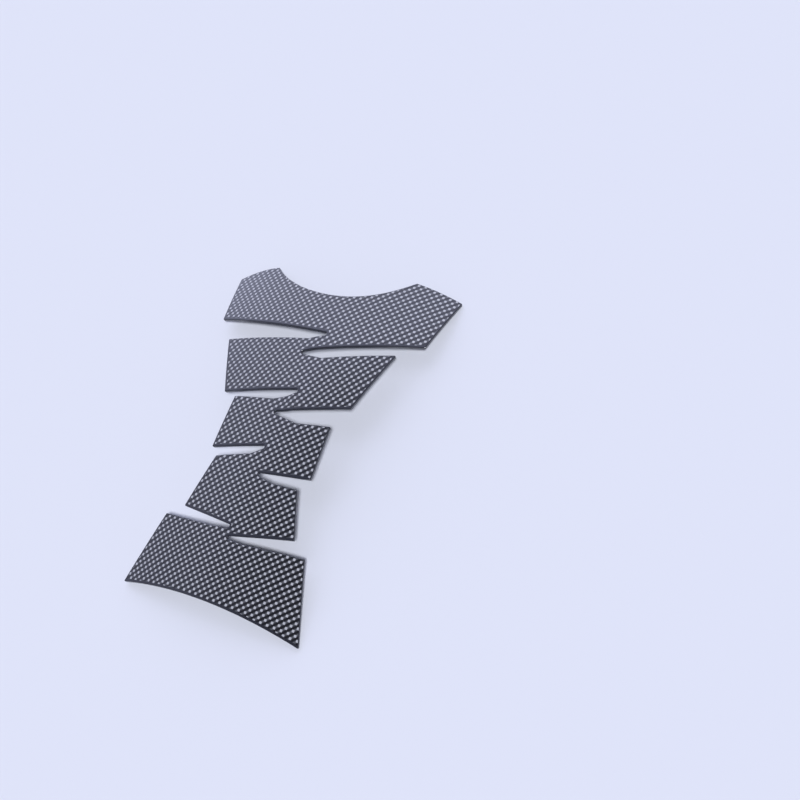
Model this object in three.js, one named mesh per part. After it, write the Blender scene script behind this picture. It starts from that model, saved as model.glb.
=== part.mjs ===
// A motorcycle tank pad: one moulded, self-adhesive piece of soft clear-coated plastic. Four pairs of
// staggered slits part it into five segments that stay joined by narrow necks, so that it can follow a
// surface that curves both ways. It is modelled in the shape it has once it is pressed onto one.
// Millimetres. +Z is out of the printed face and +Y points to the notched end.
import * as THREE from "three";

// Section: a flat-backed slab with a rounded upper rim
const THICKNESS = 1.6;
const RIM_RADIUS = 0.3 * THICKNESS;

// Flat die-cut outline: x is across the pad from its centre line, y along it. Each side of a segment
// is given by how far its upper and lower corners lie from the centre line, and by its length along y.
// The list starts at the notched end.
const SEGMENTS = [
  { left: { upper: 71.5, lower: 68, length: 30.7 }, right: { upper: 72.7, lower: 64.8, length: 33.2 } },
  { left: { upper: 55.7, lower: 43.6, length: 34.2 }, right: { upper: 51.6, lower: 36.6, length: 35 } },
  { left: { upper: 36, lower: 36, length: 30.6 }, right: { upper: 29.2, lower: 30.8, length: 29.9 } },
  { left: { upper: 30.5, lower: 37.5, length: 30.7 }, right: { upper: 26, lower: 35.5, length: 25.5 } },
  { left: { upper: 48, lower: 59.5, length: 42.1 }, right: { upper: 44.7, lower: 59.6, length: 43.2 } },
];

// The slits below segments 1 to 4. mouth is the opening at the side, past how far the tip reaches
// beyond the centre line, and rise how far the tip lies above the corner over the mouth. The lower
// side turns up to the tip at a shoulder, which lies back from the tip and drop below it.
const SLITS = [
  {
    left: { mouth: 9.7, past: 8.1, rise: -5.5, back: 9.8, drop: 3.6 },
    right: { mouth: 11.4, past: 2.5, rise: -16.6, back: 12.8, drop: 2.5 },
  },
  {
    left: { mouth: 6.7, past: 3.6, rise: 2.8, back: 14.6, drop: 6.5 },
    right: { mouth: 6.4, past: 6, rise: -6.7, back: 15.5, drop: 3 },
  },
  {
    left: { mouth: 4.4, past: -2.8, rise: 6.9, back: 6.7, drop: 5.5 },
    right: { mouth: 6.8, past: -0.6, rise: -5, back: 10, drop: 2.6 },
  },
  {
    left: { mouth: 7, past: -3.6, rise: -3.4, back: 10.1, drop: 2.4 },
    right: { mouth: 6.1, past: 2.1, rise: -9, back: 10.4, drop: 0.9 },
  },
];
const TIP_WIDTH = 1.8;

// How far up the outline's upper left corner lies, and how much further up the right one does
const LEFT_CORNER = 93.6;
const RIGHT_LEAD = 1;
const UPPER_CORNER = { left: LEFT_CORNER, right: LEFT_CORNER + RIGHT_LEAD };

// The notched end: an ear on each side rises from the segment's upper corner to a peak, and the
// notch swings down between the two peaks. y is measured from the upper corner of that side.
const EARS = {
  left: { peak: [46.4, 7.6], crown: [57.9, 7.1], lip: [37.9, -1.2] },
  right: { peak: [43.6, 5.7], crown: [57.1, 4.1], lip: [33.1, -4.2] },
};
const NOTCH = { x: 2, depth: 11.3, flat: { left: 22, right: 18 } };

// The lower end is hollowed by this much in the middle
const LOWER_HOLLOW = 5.2;

// Corners, rounder than the rim so that the rim can follow them, and the slits' blunt tips
const CORNER_RADIUS = 1.4 * RIM_RADIUS;
const PEAK_RADIUS = 1.5 * CORNER_RADIUS;
const SHOULDER_RADIUS = 3;
const TIP_RADIUS = 0.47 * TIP_WIDTH;

// How far each neck is bent in its own plane where the pad was laid, in degrees, about the tip of one
// of its two slits. The bend fades in across the neck, along x or along y.
const NECKS = [
  { turn: -3.76, pivot: "left", fade: "x" },
  { turn: 8.07, pivot: "right", fade: "x" },
  { turn: -0.81, pivot: "left", fade: "y" },
  { turn: -1.17, pivot: "left", fade: "y" },
];
const FIXED_SEGMENT = 2;
const LEAST_FADE = 2;

// The surface under the pad. Along the pad it is straight at the lower end and tightens steadily to
// this radius at the upper end. Across, its radius goes from one value to the other.
const ALONG_RADIUS_UPPER = 258;
const ACROSS_RADIUS_UPPER = 283;
const ACROSS_RADIUS_LOWER = 218;

// Facets. The faces' edges may be a little longer than the outline's, which are never split.
const OUTLINE_STEP = 7;
const ARC_STEP = Math.PI / 5;
const FACE_EDGE = 1.3 * OUTLINE_STEP;
const RIM_STEPS = 3;
const SPINE_STEPS = 48;

const SIDES = { left: -1, right: 1 };
const point = (x, y) => new THREE.Vector2(x, y);

// The corners of every segment's side, the slits' tips and their shoulders, in flat coordinates
function layOut(side) {
  const sign = SIDES[side];
  let y = UPPER_CORNER[side];
  return SEGMENTS.map((segment, i) => {
    const edge = segment[side];
    const upper = point(sign * edge.upper, y);
    const lower = point(sign * edge.lower, y - edge.length);
    y = lower.y;
    if (i === SLITS.length) return { upper, lower };
    const slit = SLITS[i][side];
    const tip = point(-sign * slit.past, y + slit.rise);
    const shoulder = point(tip.x + sign * slit.back, tip.y - slit.drop);
    y -= slit.mouth;
    return { upper, lower, tip, shoulder };
  });
}
const layout = { left: layOut("left"), right: layOut("right") };

const upperEnd = Math.max(UPPER_CORNER.left + EARS.left.peak[1], UPPER_CORNER.right + EARS.right.peak[1]);
const lowerEnd = Math.min(layout.left.at(-1).lower.y, layout.right.at(-1).lower.y);
const length = upperEnd - lowerEnd;

// A corner of the outline: radius rounds it, and controls are the Bezier points on the way to it
const corner = (at, radius, controls = []) => ({ at, radius, controls });

// One side's corners from the upper end down: the segment's side, then the slit under it
function sideCorners(side) {
  return layout[side].flatMap(({ upper, lower, tip, shoulder }) => {
    const edge = [corner(upper, CORNER_RADIUS), corner(lower, CORNER_RADIUS)];
    if (!tip) return edge;
    return [
      ...edge,
      corner(point(tip.x, tip.y + TIP_WIDTH / 2), TIP_RADIUS),
      corner(point(tip.x, tip.y - TIP_WIDTH / 2), TIP_RADIUS),
      corner(shoulder, SHOULDER_RADIUS),
    ];
  });
}

// The ear's peak on one side, and the control points of its crown and of the notch beside it
function ear(side) {
  const place = ([x, y]) => point(SIDES[side] * x, UPPER_CORNER[side] + y);
  const { peak, crown, lip } = EARS[side];
  return { peak: place(peak), crown: place(crown), lip: place(lip) };
}

// The whole outline, anticlockwise from the notch's floor
function outlineCorners() {
  const left = ear("left");
  const right = ear("right");
  const floor = point(NOTCH.x, (UPPER_CORNER.left + UPPER_CORNER.right) / 2 - NOTCH.depth);
  const floorLeft = point(floor.x - NOTCH.flat.left, floor.y);
  const floorRight = point(floor.x + NOTCH.flat.right, floor.y);
  const leftSide = sideCorners("left");
  const rightSide = sideCorners("right").reverse();
  leftSide[0].controls = [left.crown];
  const foot = leftSide.at(-1).at.clone().add(rightSide[0].at).multiplyScalar(0.5);
  rightSide[0].controls = [foot.setY(foot.y + 2 * LOWER_HOLLOW)];
  return [
    corner(floor, 0, [right.lip, floorRight]),
    corner(left.peak, PEAK_RADIUS, [floorLeft, left.lip]),
    ...leftSide,
    ...rightSide,
    corner(right.peak, PEAK_RADIUS, [right.crown]),
  ];
}

// Turns the corners into a shape whose corners are arcs
function outlineShape() {
  const corners = outlineCorners();
  const fillets = corners.map(({ at, radius, controls }, i) => {
    const before = corners.at(i - 1);
    const after = corners[(i + 1) % corners.length];
    const back = (controls.at(-1) ?? before.at).clone().sub(at).normalize();
    const ahead = (after.controls[0] ?? after.at).clone().sub(at).normalize();
    if (!radius) return { enter: at, leave: at };
    const half = Math.acos(THREE.MathUtils.clamp(back.dot(ahead), -1, 1)) / 2;
    const trim = radius / Math.tan(half);
    const middle = back.clone().add(ahead).normalize();
    const centre = at.clone().addScaledVector(middle, radius / Math.sin(half));
    const enter = at.clone().addScaledVector(back, trim);
    const leave = at.clone().addScaledVector(ahead, trim);
    return { enter, leave, centre, radius, clockwise: back.cross(ahead) > 0 };
  });
  const shape = new THREE.Shape();
  shape.moveTo(fillets[0].leave.x, fillets[0].leave.y);
  for (let i = 1; i <= corners.length; i++) {
    const { controls } = corners[i % corners.length];
    const { enter, leave, centre, radius, clockwise } = fillets[i % corners.length];
    const numbers = [...controls, enter].flatMap((p) => p.toArray());
    if (controls.length === 2) shape.bezierCurveTo(...numbers);
    else if (controls.length === 1) shape.quadraticCurveTo(...numbers);
    else shape.lineTo(...numbers);
    if (!centre) continue;
    const from = enter.clone().sub(centre).angle();
    const to = leave.clone().sub(centre).angle();
    shape.absarc(centre.x, centre.y, radius, from, to, clockwise);
  }
  return shape;
}

// Points along the outline, each with the normal that points into the material
function outlinePoints() {
  return outlineShape().curves.flatMap((curve) => {
    let steps = Math.ceil(curve.getLength() / OUTLINE_STEP);
    if (curve.isEllipseCurve) steps = Math.ceil(curve.getLength() / curve.xRadius / ARC_STEP);
    if (curve.getLength() < 1e-6) return [];
    return Array.from({ length: steps }, (_, i) => {
      const at = curve.getPointAt(i / steps);
      const along = curve.getTangentAt(i / steps);
      return { at, inward: point(-along.y, along.x) };
    });
  });
}

const smooth = (t) => THREE.MathUtils.smoothstep(t, 0, 1);

// The height of a slit's middle line at x, from its tip to the middle of its mouth
function slitMiddle(side, i, x) {
  const { tip, lower } = layout[side][i];
  const mouth = lower.clone().add(layout[side][i + 1].upper).multiplyScalar(0.5);
  return THREE.MathUtils.mapLinear(x, tip.x, mouth.x, tip.y, mouth.y);
}

// 1 in the segments above neck i, 0 in those below it, and between the two within the neck
function shareAbove(i, flat) {
  const left = layout.left[i].tip;
  const right = layout.right[i].tip;
  if (flat.x < left.x && flat.y > slitMiddle("left", i, flat.x)) return 1;
  if (flat.x > right.x && flat.y < slitMiddle("right", i, flat.x)) return 0;
  const axis = NECKS[i].fade;
  return smooth((flat[axis] - right[axis]) / Math.max(left[axis] - right[axis], LEAST_FADE));
}

// Where a point of the flat pad lies once the necks are bent, with one segment held still
function bendNecks(flat) {
  const bent = flat.clone();
  const bend = (i, share) => {
    const pivot = layout[NECKS[i].pivot][i].tip;
    bent.rotateAround(pivot, THREE.MathUtils.degToRad(NECKS[i].turn) * share);
  };
  for (let i = 0; i < FIXED_SEGMENT; i++) bend(i, shareAbove(i, flat));
  for (let i = NECKS.length - 1; i >= FIXED_SEGMENT; i--) bend(i, 1 - shareAbove(i, flat));
  return bent;
}

const alongCurvature = (t) => (t - lowerEnd) / (length * ALONG_RADIUS_UPPER);
const acrossCurvature = (t) =>
  THREE.MathUtils.mapLinear(t, lowerEnd, upperEnd, 1 / ACROSS_RADIUS_LOWER, 1 / ACROSS_RADIUS_UPPER);
const slope = (t) => (t * (alongCurvature(t) + alongCurvature(0))) / 2;

// The surface's profile along the pad: how far it has gone and how far it has dropped at t
function profile(t) {
  let y = 0;
  let z = 0;
  for (let i = 0; i < SPINE_STEPS; i++) {
    const angle = slope((t * (i + 0.5)) / SPINE_STEPS);
    y += (Math.cos(angle) * t) / SPINE_STEPS;
    z -= (Math.sin(angle) * t) / SPINE_STEPS;
  }
  return { y, z };
}

// A point of the flat pad at a height over its back, laid on the surface
function layOnSurface(flat, height) {
  const { x: s, y: t } = bendNecks(flat);
  const curvature = acrossCurvature(t);
  const angle = slope(t);
  const { y, z } = profile(t);
  const radius = 1 / curvature + height;
  const out = radius * Math.cos(s * curvature) - 1 / curvature;
  return new THREE.Vector3(
    radius * Math.sin(s * curvature),
    y + out * Math.sin(angle),
    z + out * Math.cos(angle),
  );
}

// Splits every triangle edge that is longer than FACE_EDGE, until none is left
function refine(points, triangles) {
  const midpoints = new Map();
  const midpoint = (a, b) => {
    if (points[a].distanceTo(points[b]) <= FACE_EDGE) return -1;
    const key = Math.min(a, b) + "," + Math.max(a, b);
    if (!midpoints.has(key)) midpoints.set(key, points.push(points[a].clone().lerp(points[b], 0.5)) - 1);
    return midpoints.get(key);
  };
  const done = [];
  const open = [...triangles];
  while (open.length) {
    const [a, b, c] = open.pop();
    const sides = [a, b, c].map((p, i) => points[p].distanceTo(points[[b, c, a][i]]));
    const turn = sides.indexOf(Math.max(...sides));
    const [p, q, r] = [
      [a, b, c],
      [b, c, a],
      [c, a, b],
    ][turn];
    const m = midpoint(p, q);
    if (m < 0) done.push([a, b, c]);
    else open.push([p, m, r], [m, q, r]);
  }
  return done;
}

// The closed skin: the back, the wall, the rounded rim and the printed face
function padGeometry() {
  const outline = outlinePoints();
  const rings = [{ inset: 0, height: 0 }];
  for (let i = 0; i <= RIM_STEPS; i++) {
    const angle = (i / RIM_STEPS) * (Math.PI / 2);
    rings.push({
      inset: RIM_RADIUS * (1 - Math.cos(angle)),
      height: THICKNESS - RIM_RADIUS * (1 - Math.sin(angle)),
    });
  }
  const vertices = [];
  const triangles = [];
  const flatRing = ({ inset }) => outline.map(({ at, inward }) => at.clone().addScaledVector(inward, inset));
  for (const ring of rings) {
    for (const flat of flatRing(ring)) vertices.push(layOnSurface(flat, ring.height));
  }
  const n = outline.length;
  for (let k = 1; k < rings.length; k++) {
    for (let i = 0; i < n; i++) {
      const j = (i + 1) % n;
      const below = (k - 1) * n;
      const above = k * n;
      triangles.push([below + i, below + j, above + j], [below + i, above + j, above + i]);
    }
  }
  const addFace = (ring, first, facesUp) => {
    const points = flatRing(ring);
    const faces = refine(points, THREE.ShapeUtils.triangulateShape(points.slice(), []));
    const inner = vertices.length - n;
    for (const flat of points.slice(n)) vertices.push(layOnSurface(flat, ring.height));
    for (const [a, b, c] of faces) {
      const [i, j, k] = [a, b, c].map((p) => (p < n ? first + p : inner + p));
      triangles.push(facesUp ? [i, j, k] : [i, k, j]);
    }
  };
  addFace(rings[0], 0, false);
  addFace(rings.at(-1), (rings.length - 1) * n, true);
  const geometry = new THREE.BufferGeometry().setFromPoints(vertices);
  return geometry.setIndex(triangles.flat());
}

// The plane that the pad rests on: through three corners of its back, under its middle
function restingPlane() {
  const feet = Object.values(layout)
    .flat()
    .flatMap(({ upper, lower }) => [layOnSurface(upper, 0), layOnSurface(lower, 0)]);
  const middle = layOnSurface(point(0, 0), 0);
  const plane = new THREE.Plane();
  for (let i = 0; i < feet.length; i++) {
    for (let j = i + 1; j < feet.length; j++) {
      for (let k = j + 1; k < feet.length; k++) {
        plane.setFromCoplanarPoints(feet[i], feet[j], feet[k]);
        if (plane.normal.z < 0) plane.negate();
        const under = plane.projectPoint(middle, new THREE.Vector3());
        const inside = THREE.Triangle.containsPoint(under, feet[i], feet[j], feet[k]);
        if (inside && feet.every((foot) => plane.distanceToPoint(foot) > -1e-9)) return plane;
      }
    }
  }
  throw new Error("the pad has no three corners to rest on");
}

// Stands the pad on z = 0, with its box centred over the origin
function settle(geometry) {
  const { normal } = restingPlane();
  const level = new THREE.Quaternion().setFromUnitVectors(normal, new THREE.Vector3(0, 0, 1));
  geometry.applyQuaternion(level);
  geometry.computeBoundingBox();
  const { min, max } = geometry.boundingBox;
  return geometry.translate(-(min.x + max.x) / 2, -(min.y + max.y) / 2, -min.z);
}

const tankPad = new THREE.Mesh(
  settle(padGeometry()),
  new THREE.MeshStandardMaterial({ color: 0x34353c, roughness: 0.22, metalness: 0 }),
);
tankPad.name = "tank_pad";
tankPad.geometry.computeVertexNormals();

const pad = new THREE.Group();
pad.add(tankPad);

export default pad;
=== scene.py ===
"""The looks of the tank pad: a finely meshed pad with its printed weave under a clear coat, on a pale
floor in soft studio light, seen from the photograph's place."""

from itertools import combinations

import bpy
import numpy as np
from mathutils import Matrix, Vector
from mathutils.geometry import delaunay_2d_cdt


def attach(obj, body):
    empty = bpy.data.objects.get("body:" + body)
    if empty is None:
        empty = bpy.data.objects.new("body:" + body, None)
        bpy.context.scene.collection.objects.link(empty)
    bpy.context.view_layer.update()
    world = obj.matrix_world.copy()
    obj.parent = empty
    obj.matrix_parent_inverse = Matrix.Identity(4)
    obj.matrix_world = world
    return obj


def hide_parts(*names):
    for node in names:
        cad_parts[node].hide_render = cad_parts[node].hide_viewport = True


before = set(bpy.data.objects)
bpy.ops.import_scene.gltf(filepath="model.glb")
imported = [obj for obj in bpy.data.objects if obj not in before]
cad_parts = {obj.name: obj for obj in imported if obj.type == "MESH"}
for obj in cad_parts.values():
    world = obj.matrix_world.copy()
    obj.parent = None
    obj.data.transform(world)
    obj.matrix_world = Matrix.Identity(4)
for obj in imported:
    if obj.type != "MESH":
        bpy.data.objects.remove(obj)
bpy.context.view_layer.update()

MM = 0.001

# The pad's template, in flat millimetres, as in the part's source

THICKNESS = 1.6
RIM_RADIUS = 0.3 * THICKNESS

# Per segment from the notched end: left and right (upper corner's x, lower corner's x, length along y)
SEGMENTS = (
    ((71.5, 68.0, 30.7), (72.7, 64.8, 33.2)),
    ((55.7, 43.6, 34.2), (51.6, 36.6, 35.0)),
    ((36.0, 36.0, 30.6), (29.2, 30.8, 29.9)),
    ((30.5, 37.5, 30.7), (26.0, 35.5, 25.5)),
    ((48.0, 59.5, 42.1), (44.7, 59.6, 43.2)),
)
# Per slit: left and right (mouth, reach past the centre line, rise, shoulder's way back, its drop)
SLITS = (
    ((9.7, 8.1, -5.5, 9.8, 3.6), (11.4, 2.5, -16.6, 12.8, 2.5)),
    ((6.7, 3.6, 2.8, 14.6, 6.5), (6.4, 6.0, -6.7, 15.5, 3.0)),
    ((4.4, -2.8, 6.9, 6.7, 5.5), (6.8, -0.6, -5.0, 10.0, 2.6)),
    ((7.0, -3.6, -3.4, 10.1, 2.4), (6.1, 2.1, -9.0, 10.4, 0.9)),
)
TIP_WIDTH = 1.8
UPPER_CORNER = (93.6, 94.6)
PEAK = ((46.4, 7.6), (43.6, 5.7))
CROWN = ((57.9, 7.1), (57.1, 4.1))
LIP = ((37.9, -1.2), (33.1, -4.2))
NOTCH_X, NOTCH_DEPTH, NOTCH_FLAT = 2.0, 11.3, (22.0, 18.0)
LOWER_HOLLOW = 5.2
CORNER_RADIUS = 1.4 * RIM_RADIUS
PEAK_RADIUS = 1.5 * CORNER_RADIUS
SHOULDER_RADIUS = 3.0
TIP_RADIUS = 0.47 * TIP_WIDTH

LEFT, RIGHT = 0, 1
SIGN = (-1, 1)

# The necks' bends: degrees, the side of the slit's tip that is the pivot, and the axis of the fade
NECKS = ((-3.76, LEFT, 0), (8.07, RIGHT, 0), (-0.81, LEFT, 1), (-1.17, LEFT, 1))
FIXED_SEGMENT = 2
LEAST_FADE = 2.0

ALONG_RADIUS_UPPER = 258.0
ACROSS_RADIUS_UPPER = 283.0
ACROSS_RADIUS_LOWER = 218.0

# The mesh, in millimetres

OUTLINE_STEP = 1.6
ARC_STEP = np.pi / 14
RIM_STEPS = 7
SPINE_STEPS = 48
FACE_PITCH = 2.4
BACK_PITCH = 6.0
# Rings of points that hold the print's border straight. A point that is nearer to the outline than
# this share of its ring's inset is left out, and the grid starts this share of its pitch inside them.
GUARD_INSETS = (1.6, 2.4)
GUARD_KEPT = 0.97
GRID_CLEAR = 0.35
NUDGE = 0.01  # the step that slopes are taken over
WELD = 1e-7  # points that are nearer than this are one
LEVEL = 1e-9  # how far below the resting plane a corner may come out
# The looks, as indices of the mesh's materials
PRINT, BACK, WALL = 0, 1, 2

# The print, in template millimetres: the weave's cells, and where a dot's middle lies
CELL = (2.0, 1.982)
DOT_AT = (-0.5, 1.68)
# The black border is this wide, and the print sits this far off centre in it
BORDER = 0.9
PRINT_SHIFT = (0.3, 0.5)
# In cells: a dot is a superellipse of this power that fades out between these reaches, and the thread
# that links the dots fades in towards its middle, to this share
DOT_POWER = 5.0
DOT_EDGE = (0.38, 0.29)
LINK_EDGE = (0.40, 0.0)
LINK_SHARE = 0.85
BORDER_EDGE = (-0.05, 0.05)

BLACK = (0.008, 0.008, 0.010, 1)
THREAD = (0.103, 0.107, 0.112, 1)
SILVER = (0.445, 0.45, 0.456, 1)
BORDER_BLACK = (0.018, 0.019, 0.025, 1)
# The wall's own dark tone, lifted a little above the border's black as painted light: a glint that the
# resin's edge catches
WALL_COLOURS_WITH_PAINTED_GLINT = ((0.035, 0.037, 0.043, 1), (0.065, 0.068, 0.078, 1))
BACK_COLOURS = ((0.13, 0.135, 0.145, 1), (0.20, 0.205, 0.215, 1))

# Noises: scale per template millimetre, and detail
RIPPLE, WALL_NOISE, SPECKLE = (0.09, 2.0), (0.5, 3.0), (0.8, 4.0)
# Bumps: strength, and height in metres
COAT_BUMP, BACK_BUMP = (0.25, 0.00025), (0.3, 0.0002)

# What the shader is set to, per look
UNDER_COAT = {"Roughness": 0.5, "Specular IOR Level": 0.1}
COAT = {"Coat Weight": 1.0, "Coat Roughness": 0.09, "Coat IOR": 1.62}
ADHESIVE = {"Roughness": 0.7, "Specular IOR Level": 0.3}
MATT = {"Roughness": 1.0, "Specular IOR Level": 0.0}

# The camera over the pad as laid, in its surface's own millimetres
CAMERA_PLACE = (550.56, -223.67, 776.49)
CAMERA_TARGET = (61.91, 31.74, 0.0)
CAMERA_UP = (-0.20502, 0.88414, 0.41984)
LENS = 83.67


def lay_out(side):
    """Each segment's corners on one side, and its slit's tip and shoulder."""
    sign, y, found = SIGN[side], UPPER_CORNER[side], []
    for i, segment in enumerate(SEGMENTS):
        upper_x, lower_x, length = segment[side]
        upper = np.array([sign * upper_x, y])
        lower = np.array([sign * lower_x, y - length])
        y = lower[1]
        if i == len(SLITS):
            found.append((upper, lower, None, None))
            break
        mouth, past, rise, back, drop = SLITS[i][side]
        tip = np.array([-sign * past, y + rise])
        found.append((upper, lower, tip, tip + (sign * back, -drop)))
        y -= mouth
    return found


LAYOUT = (lay_out(LEFT), lay_out(RIGHT))
UPPER_END = max(UPPER_CORNER[s] + PEAK[s][1] for s in (LEFT, RIGHT))
LOWER_END = min(LAYOUT[s][-1][1][1] for s in (LEFT, RIGHT))


def side_corners(side):
    """The outline's corners down one side, from the ear to the plain end."""
    corners = []
    for upper, lower, tip, shoulder in LAYOUT[side]:
        corners += [(upper, CORNER_RADIUS, []), (lower, CORNER_RADIUS, [])]
        if tip is not None:
            half = np.array([0, TIP_WIDTH / 2])
            corners += [(tip + half, TIP_RADIUS, []), (tip - half, TIP_RADIUS, [])]
            corners.append((shoulder, SHOULDER_RADIUS, []))
    return corners


def outline_corners():
    """The outline anticlockwise from the notch's floor: place, radius, Bezier points before it."""

    def on_ear(side, place):
        return np.array([SIGN[side] * place[side][0], UPPER_CORNER[side] + place[side][1]])

    floor = np.array([NOTCH_X, sum(UPPER_CORNER) / 2 - NOTCH_DEPTH])
    left, right = side_corners(LEFT), side_corners(RIGHT)[::-1]
    left[0][2].append(on_ear(LEFT, CROWN))
    right[0][2].append((left[-1][0] + right[0][0]) / 2 + (0, 2 * LOWER_HOLLOW))
    return [
        (floor, 0, [on_ear(RIGHT, LIP), floor + (NOTCH_FLAT[RIGHT], 0)]),
        (on_ear(LEFT, PEAK), PEAK_RADIUS, [floor - (NOTCH_FLAT[LEFT], 0), on_ear(LEFT, LIP)]),
        *left,
        *right,
        (on_ear(RIGHT, PEAK), PEAK_RADIUS, [on_ear(RIGHT, CROWN)]),
    ]


def unit(v):
    return v / np.linalg.norm(v)


def cross(a, b):
    return a[0] * b[1] - a[1] * b[0]


def bezier(points, t):
    """The point at t, and the direction there."""
    while len(points) > 2:
        points = [(1 - t) * a + t * b for a, b in zip(points, points[1:])]
    return (1 - t) * points[0] + t * points[1], unit(points[1] - points[0])


def outline():
    """Points along the outline and the normals that point into the pad there."""
    corners = outline_corners()
    fillets = []
    for i, (at, radius, controls) in enumerate(corners):
        after = corners[(i + 1) % len(corners)]
        back = unit((controls[-1] if controls else corners[i - 1][0]) - at)
        ahead = unit((after[2][0] if after[2] else after[0]) - at)
        if not radius:
            fillets.append((at, at, at))
            continue
        half = np.arccos(np.clip(back @ ahead, -1, 1)) / 2
        trim = radius / np.tan(half)
        centre = at + unit(back + ahead) * radius / np.sin(half)
        fillets.append((at + back * trim, at + ahead * trim, centre))
    places, inwards = [], []

    def add(place, along):
        places.append(place)
        inwards.append(np.array([-along[1], along[0]]))

    for i, (at, radius, controls) in enumerate(corners):
        enter, leave, centre = fillets[i]
        points = [fillets[i - 1][1], *controls, enter]
        length = sum(np.linalg.norm(b - a) for a, b in zip(points, points[1:]))
        steps = int(np.ceil(length / OUTLINE_STEP))
        for k in range(steps):
            add(*bezier(points, k / steps))
        if not radius:
            continue
        spoke = enter - centre
        sweep = np.arctan2(cross(spoke, leave - centre), spoke @ (leave - centre))
        steps = int(np.ceil(abs(sweep) / ARC_STEP))
        for k in range(steps):
            c, s = np.cos(sweep * k / steps), np.sin(sweep * k / steps)
            turned = np.array([c * spoke[0] - s * spoke[1], s * spoke[0] + c * spoke[1]])
            add(centre + turned, np.sign(sweep) * unit(np.array([-turned[1], turned[0]])))
    return np.array(places), np.array(inwards)


def share_above(i, flat):
    """1 in the segments above neck i, 0 in those below it, and between the two within the neck."""
    tips = [LAYOUT[s][i][2] for s in (LEFT, RIGHT)]
    axis = NECKS[i][2]
    fade = max(tips[LEFT][axis] - tips[RIGHT][axis], LEAST_FADE)
    share = np.clip((flat[:, axis] - tips[RIGHT][axis]) / fade, 0, 1)
    share = share * share * (3 - 2 * share)
    for side, past, held in ((LEFT, -1, 1), (RIGHT, 1, 0)):
        mouth = (LAYOUT[side][i][1] + LAYOUT[side][i + 1][0]) / 2
        tip = tips[side]
        middle = tip[1] + (flat[:, 0] - tip[0]) * (mouth[1] - tip[1]) / (mouth[0] - tip[0])
        beyond = (flat[:, 0] - tip[0]) * past > 0
        share[beyond & ((flat[:, 1] - middle) * -past > 0)] = held
    return share


def bend_necks(flat):
    """Turns the segments about the slits' tips, outwards from the fixed segment."""
    bent = flat.copy()
    order = [*range(FIXED_SEGMENT), *range(len(NECKS) - 1, FIXED_SEGMENT - 1, -1)]
    for i in order:
        turn, side, _ = NECKS[i]
        share = share_above(i, flat)
        angle = np.radians(turn) * (share if i < FIXED_SEGMENT else 1 - share)
        arm = bent - LAYOUT[side][i][2]
        c, s = np.cos(angle), np.sin(angle)
        turned = np.stack([c * arm[:, 0] - s * arm[:, 1], s * arm[:, 0] + c * arm[:, 1]], 1)
        bent = LAYOUT[side][i][2] + turned
    return bent


def slope(t):
    """How steeply the surface falls at t along it, in radians: its curvature grows evenly with t."""
    full = (UPPER_END - LOWER_END) * ALONG_RADIUS_UPPER
    return t * (t - 2 * LOWER_END) / full / 2


def lay_on_surface(flat, height):
    """Points of the flat pad, at heights over its back, as laid on the surface."""
    s, t = bend_necks(flat).T
    share = (t - LOWER_END) / (UPPER_END - LOWER_END)
    curvature = (1 - share) / ACROSS_RADIUS_LOWER + share / ACROSS_RADIUS_UPPER
    steps = slope(t[:, None] * (np.arange(SPINE_STEPS) + 0.5) / SPINE_STEPS)
    y, z = t * np.cos(steps).mean(1), -t * np.sin(steps).mean(1)
    radius = 1 / curvature + height
    out = radius * np.cos(s * curvature) - 1 / curvature
    across = radius * np.sin(s * curvature)
    return np.stack([across, y + out * np.sin(slope(t)), z + out * np.cos(slope(t))], 1)


def axes_at(flat, height):
    """How a laid point moves with x, y and height, as the columns of a matrix for each point."""
    nudges = ((NUDGE, 0, 0), (0, NUDGE, 0), (0, 0, NUDGE))
    here = lay_on_surface(flat, height)
    columns = [(lay_on_surface(flat + n[:2], height + n[2]) - here) / NUDGE for n in nudges]
    return np.stack(columns, 2)


def resting_turn():
    """The turn that brings the plane through three corners of the back, under its middle, level."""
    corners = np.array([p for side in LAYOUT for row in side for p in row[:2]])
    feet = lay_on_surface(corners, np.zeros(len(corners)))
    for i, j, k in combinations(range(len(feet)), 3):
        normal = unit(np.cross(feet[j] - feet[i], feet[k] - feet[i]))
        normal *= np.sign(normal[2])
        columns = np.vstack([feet[[i, j, k]].T[:2], np.ones(3)])
        weights = np.linalg.solve(columns, (0, 0, 1))
        if weights.min() > 0 and ((feet - feet[i]) @ normal).min() > -LEVEL:
            return np.array(Vector(normal).rotation_difference(Vector((0, 0, 1))).to_matrix())
    raise RuntimeError("the pad has no three corners to rest on")


def border_gap(points, edge, inward):
    """How far points lie inside the outline, and inside the print's border."""
    ahead = np.roll(edge, -1, 0) - edge
    along = ((points[:, None] - edge) * ahead).sum(2) / (ahead * ahead).sum(1)
    along = np.clip(along, 0, 1)
    away = np.linalg.norm(points[:, None] - edge - along[..., None] * ahead, axis=2)
    nearest = away.argmin(1)
    inset = away[np.arange(len(points)), nearest]
    return inset, inset - BORDER - inward[nearest] @ PRINT_SHIFT


def inside(points, edge):
    """Which points lie inside the outline."""
    x, y = points.T[:, :, None]
    (x0, y0), (x1, y1) = edge.T, np.roll(edge, -1, 0).T
    crosses = (y0 > y) != (y1 > y)
    rise = np.where(y1 == y0, 1, y1 - y0)
    return (crosses & (x < x0 + (y - y0) * (x1 - x0) / rise)).sum(1) % 2 == 1


def fill(ring, points):
    """Triangles over a closed ring of flat points and the points inside it, as indices of both."""
    places = [Vector(p) for p in np.vstack([ring, points])]
    made = delaunay_2d_cdt(places, [], [list(range(len(ring)))], 1, WELD)
    source = [indices[0] for indices in made[3]]
    return [[source[v] for v in face] for face in made[2]]


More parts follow.
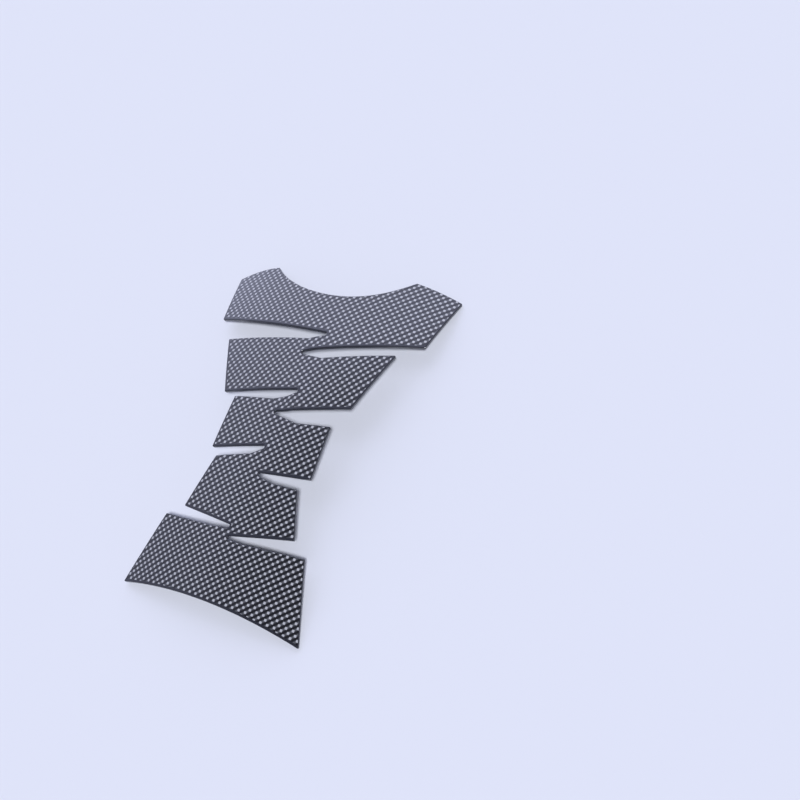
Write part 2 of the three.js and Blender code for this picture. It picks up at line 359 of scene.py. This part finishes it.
def grid(edge, pitch, clear):
    """Points on a grid of a pitch in mm that lie inside the outline by at least clear."""
    low, high = edge.min(0), edge.max(0)
    xs, ys = (np.arange(low[a] + pitch / 2, high[a], pitch) for a in (0, 1))
    points = np.stack(np.meshgrid(xs, ys), 2).reshape(-1, 2)
    points[:, 0] += np.where(np.arange(len(ys)) % 2, pitch / 4, -pitch / 4).repeat(len(xs))
    points = points[inside(points, edge)]
    return points[border_gap(points, edge, np.zeros_like(edge))[0] > clear]


def build_pad():
    """The pad's mesh, and the turn and shift that took it from its surface to the row's frame."""
    edge, inward = outline()
    n = len(edge)
    rim = np.linspace(0, np.pi / 2, RIM_STEPS + 1)
    insets = np.concatenate([[0], RIM_RADIUS * (1 - np.cos(rim))])
    heights = np.concatenate([[0], THICKNESS - RIM_RADIUS * (1 - np.sin(rim))])
    flat = [edge + inward * inset for inset in insets]
    # What each vertex faces on the flat pad: out of the wall, and up
    facing = [(-inward * np.cos(a), np.full((n, 1), np.sin(a))) for a in (0, *rim)]
    facing = [np.hstack(parts) for parts in facing]
    guards = [edge + inward * inset for inset in GUARD_INSETS]
    for inset, guard in zip(GUARD_INSETS, guards):
        kept = inside(guard, edge) & (border_gap(guard, edge, inward)[0] > GUARD_KEPT * inset)
        flat.append(guard[kept])
    flat.append(grid(edge, FACE_PITCH, GUARD_INSETS[-1] + GRID_CLEAR * FACE_PITCH))
    top_points = np.vstack(flat[len(insets):])
    back_points = grid(edge, BACK_PITCH, BACK_PITCH / 2)
    rings = len(insets)
    points = np.vstack([*flat[:rings], top_points, back_points])
    height = np.concatenate(
        [heights.repeat(n), np.full(len(top_points), THICKNESS), np.zeros(len(back_points))]
    )
    up = np.tile((0.0, 0.0, 1.0), (len(top_points) + len(back_points), 1))
    facing = np.vstack([*facing, up])

    faces = []
    for k in range(rings - 1):
        for i in range(n):
            j = (i + 1) % n
            low, high = k * n, (k + 1) * n
            faces.append([low + i, low + j, high + j, high + i])
    top_ring, first_top = (rings - 1) * n, rings * n
    for face in fill(flat[rings - 1], top_points):
        faces.append([v + top_ring if v < n else v - n + first_top for v in face])
    tops = len(faces)
    first_back = first_top + len(top_points)
    for face in fill(edge, back_points):
        faces.append([v if v < n else v - n + first_back for v in reversed(face)])

    laid = lay_on_surface(points, height)
    axes = axes_at(points, height)
    turn = resting_turn()
    laid, normals = laid @ turn.T, np.einsum("ij,njk,nk->ni", turn, axes, facing)
    normals /= np.linalg.norm(normals, axis=1)[:, None]
    back_normals = -np.einsum("ij,nj->ni", turn, axes[:, :, 2])
    low, high = laid.min(0), laid.max(0)
    shift = -np.array([(low[0] + high[0]) / 2, (low[1] + high[1]) / 2, low[2]])

    mesh = bpy.data.meshes.new("printed_pad")
    mesh.from_pydata((laid + shift) * MM, [], faces)
    mesh.polygons.foreach_set("use_smooth", [True] * len(faces))
    looks = [WALL] * n + [PRINT] * (tops - n) + [BACK] * (len(faces) - tops)
    mesh.polygons.foreach_set("material_index", looks)
    corner_normals = [
        (back_normals if k >= tops else normals)[v] for k, face in enumerate(faces) for v in face
    ]
    mesh.normals_split_custom_set(corner_normals)
    gap = border_gap(points, edge, inward)[1]
    template = mesh.attributes.new("template", "FLOAT_VECTOR", "POINT")
    template.data.foreach_set("vector", np.column_stack([points, gap]).astype(np.float32).ravel())
    mesh.update()
    return mesh, turn, shift


class Nodes:
    """Builds a material's nodes with short calls."""

    def __init__(self, name):
        self.material = bpy.data.materials.new(name)
        self.material.use_nodes = True
        self.tree = self.material.node_tree
        self.shader = self.tree.nodes["Principled BSDF"]

    def link(self, value, socket):
        if isinstance(value, bpy.types.NodeSocket):
            self.tree.links.new(value, socket)
        else:
            socket.default_value = value

    def math(self, operation, *values):
        node = self.tree.nodes.new("ShaderNodeMath")
        node.operation = operation
        for socket, value in zip(node.inputs, values):
            self.link(value, socket)
        return node.outputs[0]

    def ramp(self, value, start, end):
        """0 at start, 1 at end, and smooth between."""
        node = self.tree.nodes.new("ShaderNodeMapRange")
        node.interpolation_type = "SMOOTHSTEP"
        for name, number in (("Value", value), ("From Min", start), ("From Max", end)):
            self.link(number, node.inputs[name])
        return node.outputs["Result"]

    def mix(self, share, a, b):
        node = self.tree.nodes.new("ShaderNodeMix")
        node.data_type = "RGBA"
        sockets = [i for i in node.inputs if i.type == "RGBA"]
        self.link(share, node.inputs["Factor"])
        self.link(a, sockets[0])
        self.link(b, sockets[1])
        return next(o for o in node.outputs if o.type == "RGBA")

    def noise(self, vector, scale, detail):
        """Smooth noise about 0.5."""
        node = self.tree.nodes.new("ShaderNodeTexNoise")
        self.link(vector, node.inputs["Vector"])
        self.link(scale, node.inputs["Scale"])
        self.link(detail, node.inputs["Detail"])
        return node.outputs["Fac"]

    def template(self):
        """The attribute that holds a vertex's place on the flat template, and its x, y and gap."""
        node = self.tree.nodes.new("ShaderNodeAttribute")
        node.attribute_name = "template"
        parts = self.tree.nodes.new("ShaderNodeSeparateXYZ")
        self.tree.links.new(node.outputs["Vector"], parts.inputs[0])
        return node.outputs["Vector"], parts.outputs

    def bump(self, height, strength, distance, name):
        """Bumps in one of the shader's normals."""
        node = self.tree.nodes.new("ShaderNodeBump")
        self.link(height, node.inputs["Height"])
        self.link(strength, node.inputs["Strength"])
        self.link(distance, node.inputs["Distance"])
        self.tree.links.new(node.outputs["Normal"], self.shader.inputs[name])

    def colour(self, value):
        self.link(value, self.shader.inputs["Base Color"])

    def set_up(self, values):
        for name, value in values.items():
            self.shader.inputs[name].default_value = value


def print_material():
    """A silver and black plain weave, printed inside a black border, under clear resin."""
    n = Nodes("coated_print")
    where, (x, y, gap) = n.template()
    u = n.math("DIVIDE", n.math("SUBTRACT", x, DOT_AT[0]), CELL[0])
    v = n.math("DIVIDE", n.math("SUBTRACT", y, DOT_AT[1]), CELL[1])
    # The dots lie on every second cell, as on a chequerboard, so they repeat along its diagonals
    p = n.math("MULTIPLY", n.math("ADD", u, v), 0.5)
    q = n.math("MULTIPLY", n.math("SUBTRACT", u, v), 0.5)
    p = n.math("SUBTRACT", p, n.math("ROUND", p))
    q = n.math("SUBTRACT", q, n.math("ROUND", q))
    du, dv = n.math("ADD", p, q), n.math("SUBTRACT", p, q)
    powers = [n.math("POWER", n.math("ABSOLUTE", d), DOT_POWER) for d in (du, dv)]
    reach = n.math("POWER", n.math("ADD", *powers), 1 / DOT_POWER)
    link = n.ramp(n.math("ABSOLUTE", q), *LINK_EDGE)
    weave = n.mix(n.math("MULTIPLY", link, LINK_SHARE), BLACK, THREAD)
    weave = n.mix(n.ramp(reach, *DOT_EDGE), weave, SILVER)
    n.colour(n.mix(n.ramp(gap, *BORDER_EDGE), BORDER_BLACK, weave))
    n.set_up(UNDER_COAT | COAT)
    n.bump(n.noise(where, *RIPPLE), *COAT_BUMP, "Coat Normal")
    return n.material


def wall_material_with_painted_glint():
    """The wall below the rim: the clear resin's dark edge, a little lighter than the print's border,
    where the lift is a painted glint for the light that the edge catches.
    """
    n = Nodes("resin_edge_painted_glint")
    where, _ = n.template()
    n.colour(n.mix(n.noise(where, *WALL_NOISE), *WALL_COLOURS_WITH_PAINTED_GLINT))
    n.set_up(UNDER_COAT | COAT)
    return n.material


def adhesive_material():
    """The back: a matt, slightly uneven film of adhesive."""
    n = Nodes("adhesive")
    where, _ = n.template()
    speckle = n.noise(where, *SPECKLE)
    n.colour(n.mix(speckle, *BACK_COLOURS))
    n.set_up(ADHESIVE)
    n.bump(speckle, *BACK_BUMP, "Normal")
    return n.material


mesh, turn, shift = build_pad()
# In the order of PRINT, BACK and WALL
for make in (print_material, adhesive_material, wall_material_with_painted_glint):
    mesh.materials.append(make())
pad = bpy.data.objects.new("printed_pad", mesh)
bpy.context.scene.collection.objects.link(pad)
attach(pad, "root")
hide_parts("tank_pad")

# Floor, light and camera

FLOOR_COLOUR = (0.735, 0.748, 0.76, 1)
FLOOR_HALF = 30.0  # metres
# How bright the studio is by direction: axis, from, to, and the factor at each
STUDIO = (
    (0, -0.2, 0.4, 1.0, 0.15),
    (1, -0.2, 0.5, 0.25, 1.38),
    (2, 0.75, 0.99, 1.0, 0.12),
)
STUDIO_COLOUR = (0.85, 0.89, 1.23, 1)
HORIZON = (0.85, 0.5)  # brightness at the horizon, and the z where it has faded
KEY_FROM = (1.2, -0.62, 1.85)
KEY_STRENGTH = 2.75
KEY_ANGLE = 0.14  # how wide the lamp looks, in radians
KEY_COLOUR = (0.96, 0.98, 1.10)


def build_floor():
    mesh = bpy.data.meshes.new("floor")
    corners = [(x * FLOOR_HALF, y * FLOOR_HALF, 0) for x, y in ((-1, -1), (1, -1), (1, 1), (-1, 1))]
    mesh.from_pydata(corners, [], [(0, 1, 2, 3)])
    floor = bpy.data.objects.new("floor", mesh)
    bpy.context.scene.collection.objects.link(floor)
    n = Nodes("floor")
    n.colour(FLOOR_COLOUR)
    n.set_up(MATT)
    mesh.materials.append(n.material)


def light_world():
    """A studio that is brightest on the left and at the notched end, and dim right overhead."""
    world = bpy.data.worlds.new("studio")
    bpy.context.scene.world = world
    world.use_nodes = True
    tree = world.node_tree
    direction = tree.nodes.new("ShaderNodeTexCoord")
    parts = tree.nodes.new("ShaderNodeSeparateXYZ")
    tree.links.new(direction.outputs["Generated"], parts.inputs[0])

    def ramp(axis, start, end, low, high):
        node = tree.nodes.new("ShaderNodeMapRange")
        tree.links.new(parts.outputs[axis], node.inputs["Value"])
        ranges = {"From Min": start, "From Max": end, "To Min": low, "To Max": high}
        for name, number in ranges.items():
            node.inputs[name].default_value = number
        return node.outputs["Result"]

    def combine(operation, a, b):
        node = tree.nodes.new("ShaderNodeMath")
        node.operation = operation
        tree.links.new(a, node.inputs[0])
        tree.links.new(b, node.inputs[1])
        return node.outputs[0]

    brightness = combine("MULTIPLY", ramp(*STUDIO[0]), ramp(*STUDIO[1]))
    brightness = combine("MULTIPLY", brightness, ramp(*STUDIO[2]))
    brightness = combine("MAXIMUM", brightness, ramp(2, 0, HORIZON[1], HORIZON[0], 0))
    background = tree.nodes["Background"]
    background.inputs["Color"].default_value = STUDIO_COLOUR
    tree.links.new(brightness, background.inputs["Strength"])


def add_key():
    """A distant soft lamp from the camera's side."""
    lamp = bpy.data.lights.new("key", "SUN")
    lamp.energy, lamp.angle, lamp.color = KEY_STRENGTH, KEY_ANGLE, KEY_COLOUR
    holder = bpy.data.objects.new("key", lamp)
    holder.rotation_euler = (-Vector(KEY_FROM)).to_track_quat("-Z", "Y").to_euler()
    bpy.context.scene.collection.objects.link(holder)


def add_camera():
    """The fitted camera, carried from the laid pad's surface into the row's frame."""
    turned = [Vector(turn @ np.array(v)) for v in (CAMERA_PLACE, CAMERA_TARGET, CAMERA_UP)]
    place, target, up = turned
    back = (place - target).normalized()
    right = up.cross(back).normalized()
    axes = Matrix((right, back.cross(right), back)).transposed().to_4x4()
    camera = bpy.data.objects.new("camera", bpy.data.cameras.new("camera"))
    camera.data.lens = LENS
    camera.matrix_world = Matrix.Translation((place + Vector(shift)) * MM) @ axes
    bpy.context.scene.collection.objects.link(camera)
    bpy.context.scene.camera = camera


build_floor()
light_world()
add_key()
add_camera()

scene = bpy.context.scene
scene.view_settings.view_transform = "Standard"
